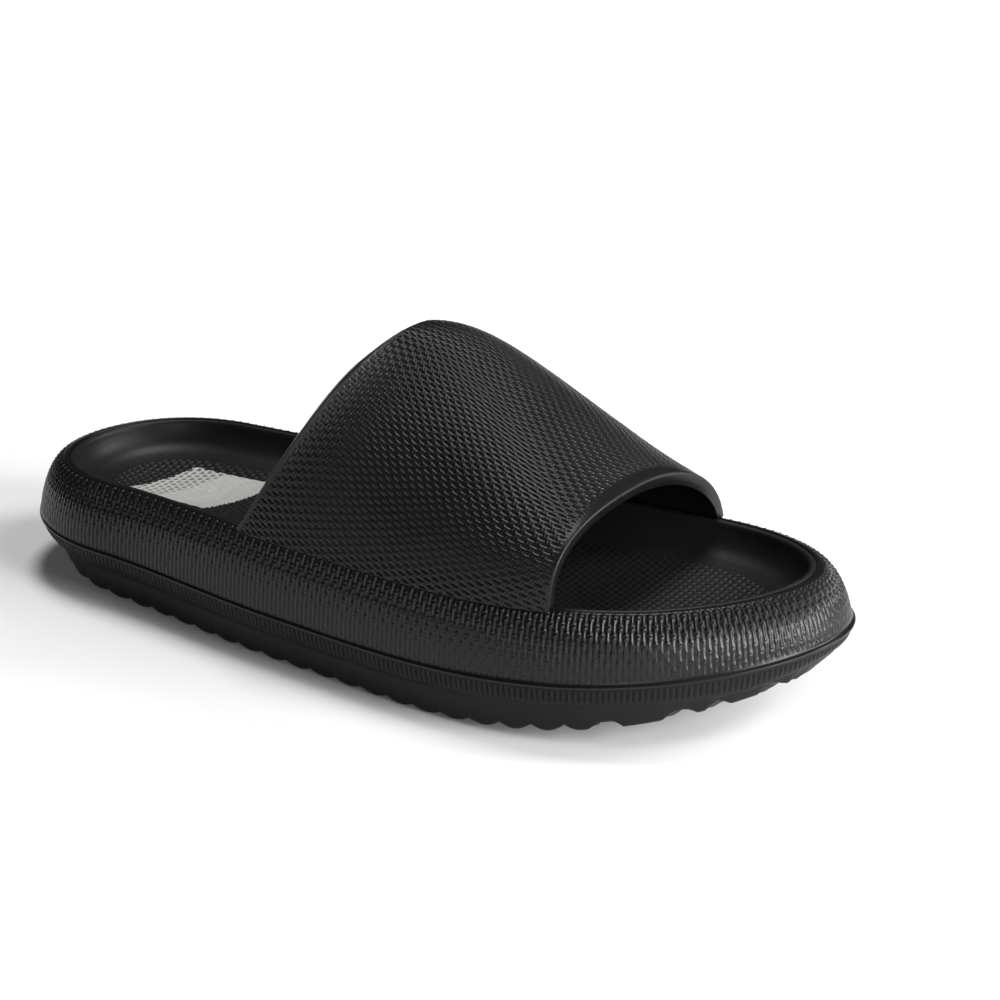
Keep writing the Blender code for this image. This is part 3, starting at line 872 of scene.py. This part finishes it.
def makeInsole():
    skin = Skin()
    bed = SoleRing(insole["perSide"])
    edge = bed.inset(sole["rimInset"])
    rim = bed.height(sole["rimHeight"])
    pairs = np.arange(1, bed.perSide)

    def floorGrid(ringPoints, columnsAcross):
        share = np.linspace(0.0, 1.0, columnsAcross + 2)[1:-1]
        grid = between(ringPoints[pairs][:, None], ringPoints[-pairs][:, None], share[None, :, None])
        flat = grid[:, :, :2].reshape(-1, 2)
        away = np.full(len(flat), np.inf)
        for point in ringPoints[::insole["borderStep"], :2]:
            away = np.minimum(away, np.sum((flat - point) ** 2, axis=1))
        away = np.sqrt(away).reshape(grid.shape[:2])
        drop = footbedDrop(bed.along[pairs][:, None], 1.0 - 2.0 * share[None, :])
        grid[:, :, 2] -= drop * smooth(away / insole["settle"])
        return grid, away

    def fillFloor(ringIndex, grid, relief, weaveMask):
        lines = [ringIndex[:1]]
        for i in pairs:
            inner = skin.add(grid[i - 1], relief[i - 1], weaveMask[i - 1])
            lines.append(np.concatenate([[ringIndex[i]], inner, [ringIndex[-i]]]))
        lines.append(ringIndex[bed.perSide:bed.perSide + 1])
        skin.rows(lines)

    wall = smoothPath(insole["cupIn"], insole["cupDown"], insole["wallRows"])
    under = [bed.at(edge + i, rim - d) for i, d in insole["under"][::-1]]
    cup = [bed.at(edge + i, rim - d) for i, d in wall]
    rings = [skin.add(points) for points in under + cup]
    grid, away = floorGrid(under[0], insole["underColumns"])
    fillFloor(rings[0], grid, np.ones(grid.shape[:2]), np.zeros(grid.shape[:2]))
    skin.loops(rings)
    grid, away = floorGrid(cup[-1], insole["floorColumns"])
    start, end = insole["dimpleEnds"]
    ends = clamp((np.abs(grid[:, :, 0]) / half - start) / (end - start))
    margin = between(insole["dimpleMargin"], insole["dimpleEndMargin"], ends)
    x, y = grid[:, :, 0], grid[:, :, 1]
    dimples = (1.0 - dimpleRelief(x, y)) * smooth((away - margin) / insole["dimpleFade"])
    forward, within = patchPlace(x, y)
    film = smooth(within / heelPatch["edge"])
    flatter = smooth((forward - heelPatch["smoothFrom"]) / heelPatch["smoothRun"] + 0.5)
    through = between(heelPatch["rearDimples"], heelPatch["frontDimples"], flatter)
    dimples *= between(1.0, through, film)
    grid[:, :, 2] += film * heelPatch["rise"] - dimples * insole["dimpleDepth"]
    # the dimples' depth also sets their painted shade
    fillFloor(rings[-1], grid, 1.0 - dimples, film)
    material, tree, shader, tone = foamMaterial("insoleFoam", insole)
    silverPatch(tree, shader, tone)
    dress(skin.build("insole_dressed", material), "insole")


def silverPatch(tree, shader, tone):  # silver where the mesh says that the film lies
    mask = ramp(tree, meshValue(tree, "weave"), *heelPatch["border"])
    place = tree.nodes.new("ShaderNodeTexCoord").outputs["Object"]
    wrinkle = noiseNode(tree, place, *heelPatch["wrinkleNoise"])
    pitShade = heelPatch["pitShade"]
    # painted shade in the dimples under the film
    dimpleShade = mathNode(tree, "MULTIPLY_ADD", meshValue(tree, "relief"), 1.0 - pitShade, pitShade)
    least = 1.0 - heelPatch["wrinkle"] / 2.0
    crumpled = mathNode(tree, "MULTIPLY_ADD", wrinkle, heelPatch["wrinkle"], least)
    silver = scaleColour(tree, heelPatch["silver"], mathNode(tree, "MULTIPLY", crumpled, dimpleShade))
    colour = mixColour(tree, mask, tone.outputs["Color"], silver)
    tree.links.new(colour, shader.inputs["Base Color"])
    gap = mathNode(tree, "SUBTRACT", heelPatch["roughness"], tone.outputs["Roughness"])
    rough = mathNode(tree, "MULTIPLY_ADD", gap, mask, tone.outputs["Roughness"])
    tree.links.new(rough, shader.inputs["Roughness"])


makeInsole()

# strap over the instep: woven relief outside, plain squared edges, smooth lining
strap = {
    "lateralX": (-35.2, 5.4, 77.6),  # rear, middle, front section
    "crownX": (1.6, 30.0, 78.6),
    "medialX": (-35.0, -0.1, 84.4),
    "crownZ": (98.9, 88.9, 63.8),
    "lean": (2.0, 13.5, -1.7),
    "lateralSide": (2.4, 2.1, 2.5),
    "lateralTop": (2.0, 2.2, 3.0),
    "medialSide": (2.4, 2.1, 2.15),
    "medialTop": (2.0, 2.2, 2.6),
    "footWall": (3.2, 3.4, 3.6),
    "crownWall": (3.2, 4.2, 5.4),
    "footLines": ((2.0, 0.0), (1.2, 0.3), (0.0, 0.6)),  # outside the rim line, share of the wall
    "rows": 200,
    "archSteps": 240,
    "liningColumns": 40,
    "noseRows": 15,
    "noseReach": 0.26,
    "noseSquare": 0.4,  # below one the free edges are squarer than round
    "mouldLine": 0.16,  # fine line on the inner half of the front edge
    "mouldLineAt": 1.95,
    "mouldLineWidth": 0.16,
    "slope": 27.6,
    "yaw": -3.1,
    "columnPitch": 1.50,
    "crowd": 0.13,  # the columns stand closer at the shoulders
    "crowdAt": 28.0,
    "crowdRun": 9.3,
    "tilt": (16.0, 13.2),  # columns lean and bow from the rear edge to the front edge
    "crownTilt": (19.3, 21.8),  # the same again near the crown
    "crownReach": 17.9,
    "leastGap": 0.12,
    "rowPeriod": 4.10,
    "rowBend": 50.0,
    "rowLean": 1.27,
    "rowCurve": 0.52,
    "samples": (0.0, 0.11, 0.5, 0.89),
    "depth": 0.55,
    "grooveHalf": 0.07,
    "grooveEdge": 0.11,
    "bridge": 0.25,
    "slotHalf": 0.27,
    "knotLane": 0.0,  # the knots sit between the slots
    "knotWide": 0.0,
    "notchDrop": 0.1,
    "knots": 0.3,
    "rearBand": 0.7,
    "frontBand": (0.2, 3.0),  # at the feet and at the crown
    "frontRise": 3,  # power with which the front band widens towards the crown
    "footBand": 0.1,
    "fade": 0.6,
    "skin": (0.0050, 0.0050, 0.0054, 1.0),
    # deep: painted shade colour in the slots
    "deep": (0.0008, 0.0008, 0.0009, 1.0),
    "gloss": 0.34,
    "dull": 0.80,
    "specular": 0.255,
    "pores": 0.35,
    "ripple": 0.25,
    "grain": 0.12,
    "bumpRelief": 0.4,
    "bumpKnots": 5.0,
}


def strapValue(name, u):
    rear, middle, front = strap[name]
    return rear * (1.0 - u) * (1.0 - 2.0 * u) + 4.0 * middle * u * (1.0 - u) + front * u * (2.0 * u - 1.0)


def strapColumns(around, u):  # columns counted from the crown, for a distance around the strap
    run = strap["crowdRun"]
    closer = np.tanh((around + strap["crowdAt"]) / run) + np.tanh((around - strap["crowdAt"]) / run)
    nearCrown = np.exp(-(np.minimum(around, 0.0) / strap["crownReach"]) ** 2)
    bow = u * (strap["tilt"][0] - strap["tilt"][1] * u)
    crownBow = u * (strap["crownTilt"][0] - strap["crownTilt"][1] * u)
    return (around + strap["crowd"] * run * closer) / strap["columnPitch"] + bow + nearCrown * crownBow


def footRing(outside):
    edge = ring.inset(sole["rimInset"])
    first = ring.inset(midsole["flare"])
    share = (edge - outside - first) / (edge - first)
    points = rollRing(share, np.interp(share, midsole["rollIn"], midsole["rollUp"]))
    points[:, 2] += sole["gap"]
    return ring.side(points, False), ring.side(points, True)


def strapSection(u, feet):
    angle = np.linspace(0.0, math.pi, strap["archSteps"] + 1)
    lateral = angle <= math.pi / 2.0
    swing = np.cos(angle)
    rise = np.sin(angle)
    sidePower = np.where(lateral, strapValue("lateralSide", u), strapValue("medialSide", u))
    topPower = np.where(lateral, strapValue("lateralTop", u), strapValue("medialTop", u))
    share = (1.0 - np.sign(swing) * np.abs(swing) ** (2.0 / sidePower)) / 2.0
    up = np.abs(rise) ** (2.0 / topPower)
    start = sidePoint(feet[0], strapValue("lateralX", u))
    end = sidePoint(feet[1], strapValue("medialX", u))
    footX = np.where(lateral, start[0], end[0])
    footZ = between(start[2], end[2], share)
    x = between(footX, strapValue("crownX", u), rise)
    y = between(start[1], end[1], share) + strapValue("lean", u) * rise
    return np.stack([x, y, between(footZ, strapValue("crownZ", u), up)], 1)


def makeUpper():
    skin = Skin()
    footRings = [footRing(outside) for outside, share in strap["footLines"]]
    us = np.linspace(0.0, 1.0, strap["rows"] + 1)
    outer = np.array([evenPoints(strapSection(u, footRings[0]), strap["archSteps"] + 1) for u in us])
    along = np.gradient(outer, axis=0)
    along /= np.linalg.norm(along, axis=2)[:, :, None]
    outward = np.cross(along, np.gradient(outer, axis=1))
    outward /= np.linalg.norm(outward, axis=2)[:, :, None]
    over = np.sin(np.linspace(0.0, math.pi, strap["archSteps"] + 1))
    wall = between(strapValue("footWall", us)[:, None], strapValue("crownWall", us)[:, None], over)
    inner = outer - outward * wall[:, :, None]
    forward = runOf(outer)

    # lattice coordinates: down the strap's slope, and around it square to that slope
    slope = math.radians(strap["slope"])
    yaw = math.radians(strap["yaw"])
    run = np.array([math.cos(slope) * math.cos(yaw), math.cos(slope) * math.sin(yaw), -math.sin(slope)])
    down = outer @ run
    step = np.diff(outer, axis=1)
    step = step - (step @ run)[:, :, None] * run
    around = np.concatenate([np.zeros((len(us), 1)), np.cumsum(np.linalg.norm(step, axis=2), axis=1)], 1)
    around -= around[:, strap["archSteps"] // 2][:, None]
    columnPlace = strapColumns(around, us[:, None])
    bent = around / strap["rowBend"]
    rowsDown = down / strap["rowPeriod"] - strap["rowLean"] * bent - strap["rowCurve"] * bent ** 2
    samples = np.array(strap["samples"])
    lines = []
    keys = []
    for i in range(len(us)):
        first, last = columnPlace[i, 0], columnPlace[i, -1]
        whole = np.arange(math.floor(first), math.ceil(last) + 1)
        place = (whole[:, None] + samples).ravel()
        place = place[(place > first + strap["leastGap"]) & (place < last - strap["leastGap"])]
        place = np.concatenate([[first], place, [last]])
        share = np.interp(place, columnPlace[i], np.arange(outer.shape[1]))

        def at(field):
            return np.interp(share, np.arange(outer.shape[1]), field)

        base = np.stack([at(outer[i, :, k]) for k in range(3)], 1)
        normal = np.stack([at(outward[i, :, k]) for k in range(3)], 1)
        rowPlace = at(rowsDown[i])
        front = between(*strap["frontBand"], at(over) ** strap["frontRise"])
        mask = smooth((at(forward[i]) - strap["rearBand"]) / strap["fade"])
        mask *= smooth((at(forward[-1] - forward[i]) - front) / strap["fade"])
        footAway = np.minimum(place - first, last - place) * strap["columnPitch"]
        mask *= smooth((footAway - strap["footBand"]) / strap["fade"])
        surface = base - normal * (wovenRelief(place, rowPlace, strap, mask) * strap["depth"])[:, None]
        lines.append(skin.add(surface, 1.0, mask, place, rowPlace))
        keys.append((place, share))
    for i in range(len(us) - 1):
        skin.zipper(lines[i], keys[i][0], lines[i + 1], keys[i + 1][0])

    # lining, with its feet on the rim
    sides = ((0, 0), (-1, 1))  # first column on the lateral foot, last on the medial
    pick = np.linspace(0, strap["archSteps"], strap["liningColumns"] + 1).astype(int)
    lining = inner[:, pick]
    for i in range(len(us)):
        for k, medial in sides:
            lining[i, k, 2] = sidePoint(footRings[-1][medial], lining[i, k, 0])[2]
    back = [skin.add(row) for row in lining]
    for rear, front in zip(back[:-1], back[1:]):
        skin.strip(rear, front)
    feet = {}
    for k, medial in sides:
        rows = [np.array([line[k] for line in lines])]
        for (outside, share), footSides in zip(strap["footLines"][1:], footRings[1:]):
            places = between(outer[:, k, 0], lining[:, k, 0], share)
            rows.append(skin.add([sidePoint(footSides[medial], x) for x in places]))
        rows.append(np.array([row[k] for row in back]))
        for first, second in zip(rows[:-1], rows[1:]):
            skin.strip(first, second)
        feet[k] = rows

    # free edges, behind and in front
    for row, ahead in ((0, -strap["noseReach"]), (-1, strap["noseReach"])):
        middle = (outer[row][pick] + lining[row]) / 2.0
        reach = (outer[row][pick] - lining[row]) / 2.0
        nose = along[row][pick] * (wall[row][pick] * ahead)[:, None]
        last = lines[row]
        lastKeys = keys[row][1]
        chains = {0: [lines[row][0]], -1: [lines[row][-1]]}
        for turn in np.linspace(0.0, math.pi, strap["noseRows"] + 2)[1:-1]:
            fromLine = (turn - strap["mouldLineAt"]) / strap["mouldLineWidth"]
            sunk = math.exp(-fromLine ** 2) * strap["mouldLine"]
            shrink = (1.0 - sunk / (wall[row][pick] / 2.0))[:, None]
            reachShare = math.copysign(abs(math.cos(turn)) ** strap["noseSquare"], math.cos(turn))
            points = middle + (reach * reachShare + nose * math.sin(turn) ** strap["noseSquare"]) * shrink
            for k, medial in sides:
                points[k, 2] = sidePoint(footRings[-1][medial], points[k, 0])[2]
            line = skin.add(points)
            skin.zipper(last, lastKeys, line, pick)
            last = line
            lastKeys = pick
            for k in chains:
                chains[k].append(line[k])
        skin.strip(last, back[row])
        for k in chains:
            corner = [rows[row] for rows in feet[k]]
            skin.faces.append([int(p) for p in chains[k] + [back[row][k]] + corner[1:-1][::-1]])
    material = foamMaterial("strapFoam", strap)[0]
    dress(skin.build("strap_dressed", material), "upper")


makeUpper()

# pale floor, soft studio light, camera at the photograph's angle
stage = {
    "floorSize": 12.0,
    "floorGap": 0.00005,  # keeps the floor off the flat lug faces
    "floorColour": (0.86, 0.86, 0.86, 1.0),
    "floorRoughness": 0.9,
    "floorSpecular": 0.1,
    "floorGlow": (0.14, 0.80),  # the floor turns into a lit cove between these distances
    "worldColour": (1.0, 1.0, 1.0, 1.0),
    "worldStrength": 0.03,
    "aim": (0.0, 0.0, 0.0),
    "lights": (
        {"name": "sideStrip", "place": (1.52, 0.0, 0.47), "size": 0.9, "power": 42.0},
        {"name": "highSide", "place": (1.03, 0.0, 1.22), "size": 0.6, "power": 5.0},
        {"name": "overhead", "place": (-0.20, 0.40, 1.54), "size": 0.6, "power": 13.0},
        {"name": "farSide", "place": (1.02, 0.82, 0.80), "size": 0.6, "power": 14.0},
        {"name": "frontFill", "place": (0.75, -1.35, 0.42), "size": 0.8, "power": 6.0},
    ),
}
view = {  # degrees, millimetres and picture points
    "azimuth": 32.870,
    "elevation": 21.436,
    "distance": 820.5,
    "target": (22.094, 17.594, 41.488),
    "focal": 2648.6,
    "image": 1000.0,
    "sensor": 36.0,
    "nearest": 10.0,
}


def makeStage():
    size = stage["floorSize"] / 2.0
    mesh = bpy.data.meshes.new("floor")
    low = -stage["floorGap"]
    corners = [(-size, -size, low), (size, -size, low), (size, size, low), (-size, size, low)]
    mesh.from_pydata(corners, [], [(0, 1, 2, 3)])
    material = bpy.data.materials.new("paleFloor")
    material.use_nodes = True
    tree = material.node_tree
    shader = tree.nodes["Principled BSDF"]
    shader.inputs["Base Color"].default_value = stage["floorColour"]
    away = tree.nodes.new("ShaderNodeVectorMath")
    away.operation = "LENGTH"
    tree.links.new(tree.nodes.new("ShaderNodeTexCoord").outputs["Object"], away.inputs[0])
    glow = ramp(tree, away.outputs["Value"], *stage["floorGlow"])
    tree.links.new(glow, shader.inputs["Emission Color"])
    shader.inputs["Emission Strength"].default_value = 1.0
    shader.inputs["Roughness"].default_value = stage["floorRoughness"]
    shader.inputs["Specular IOR Level"].default_value = stage["floorSpecular"]
    mesh.materials.append(material)
    floor = newObject("floor", mesh)
    print("floor laid")
    world = bpy.data.worlds.new("studio")
    world.use_nodes = True
    background = world.node_tree.nodes["Background"]
    background.inputs["Color"].default_value = stage["worldColour"]
    background.inputs["Strength"].default_value = stage["worldStrength"]
    bpy.context.scene.world = world
    for row in stage["lights"]:
        lamp = bpy.data.lights.new(row["name"], "AREA")
        lamp.shape = "DISK"
        lamp.size = row["size"]
        lamp.energy = row["power"]
        light = newObject(row["name"], lamp)
        light.location = row["place"]
        towards = Vector(stage["aim"]) - Vector(row["place"])
        light.rotation_euler = towards.to_track_quat("-Z", "Y").to_euler()


def makeCamera():
    azimuth = math.radians(view["azimuth"])
    elevation = math.radians(view["elevation"])
    level = math.cos(elevation)
    back = Vector((math.sin(azimuth) * level, -math.cos(azimuth) * level, math.sin(elevation)))
    right = Vector((math.cos(azimuth), math.sin(azimuth), 0.0))
    up = back.cross(right)
    lens = bpy.data.cameras.new("camera")
    lens.sensor_width = view["sensor"]
    lens.lens = view["focal"] / view["image"] * view["sensor"]
    lens.clip_start = view["nearest"] * mm
    camera = newObject("camera", lens)
    place = (Vector(view["target"]) + back * view["distance"]) * mm
    turn = Matrix((right, up, back)).transposed().to_4x4()
    camera.matrix_world = Matrix.Translation(place) @ turn
    bpy.context.scene.camera = camera


makeStage()
makeCamera()
bpy.context.scene.view_settings.view_transform = "Standard"
print("stage and camera set")
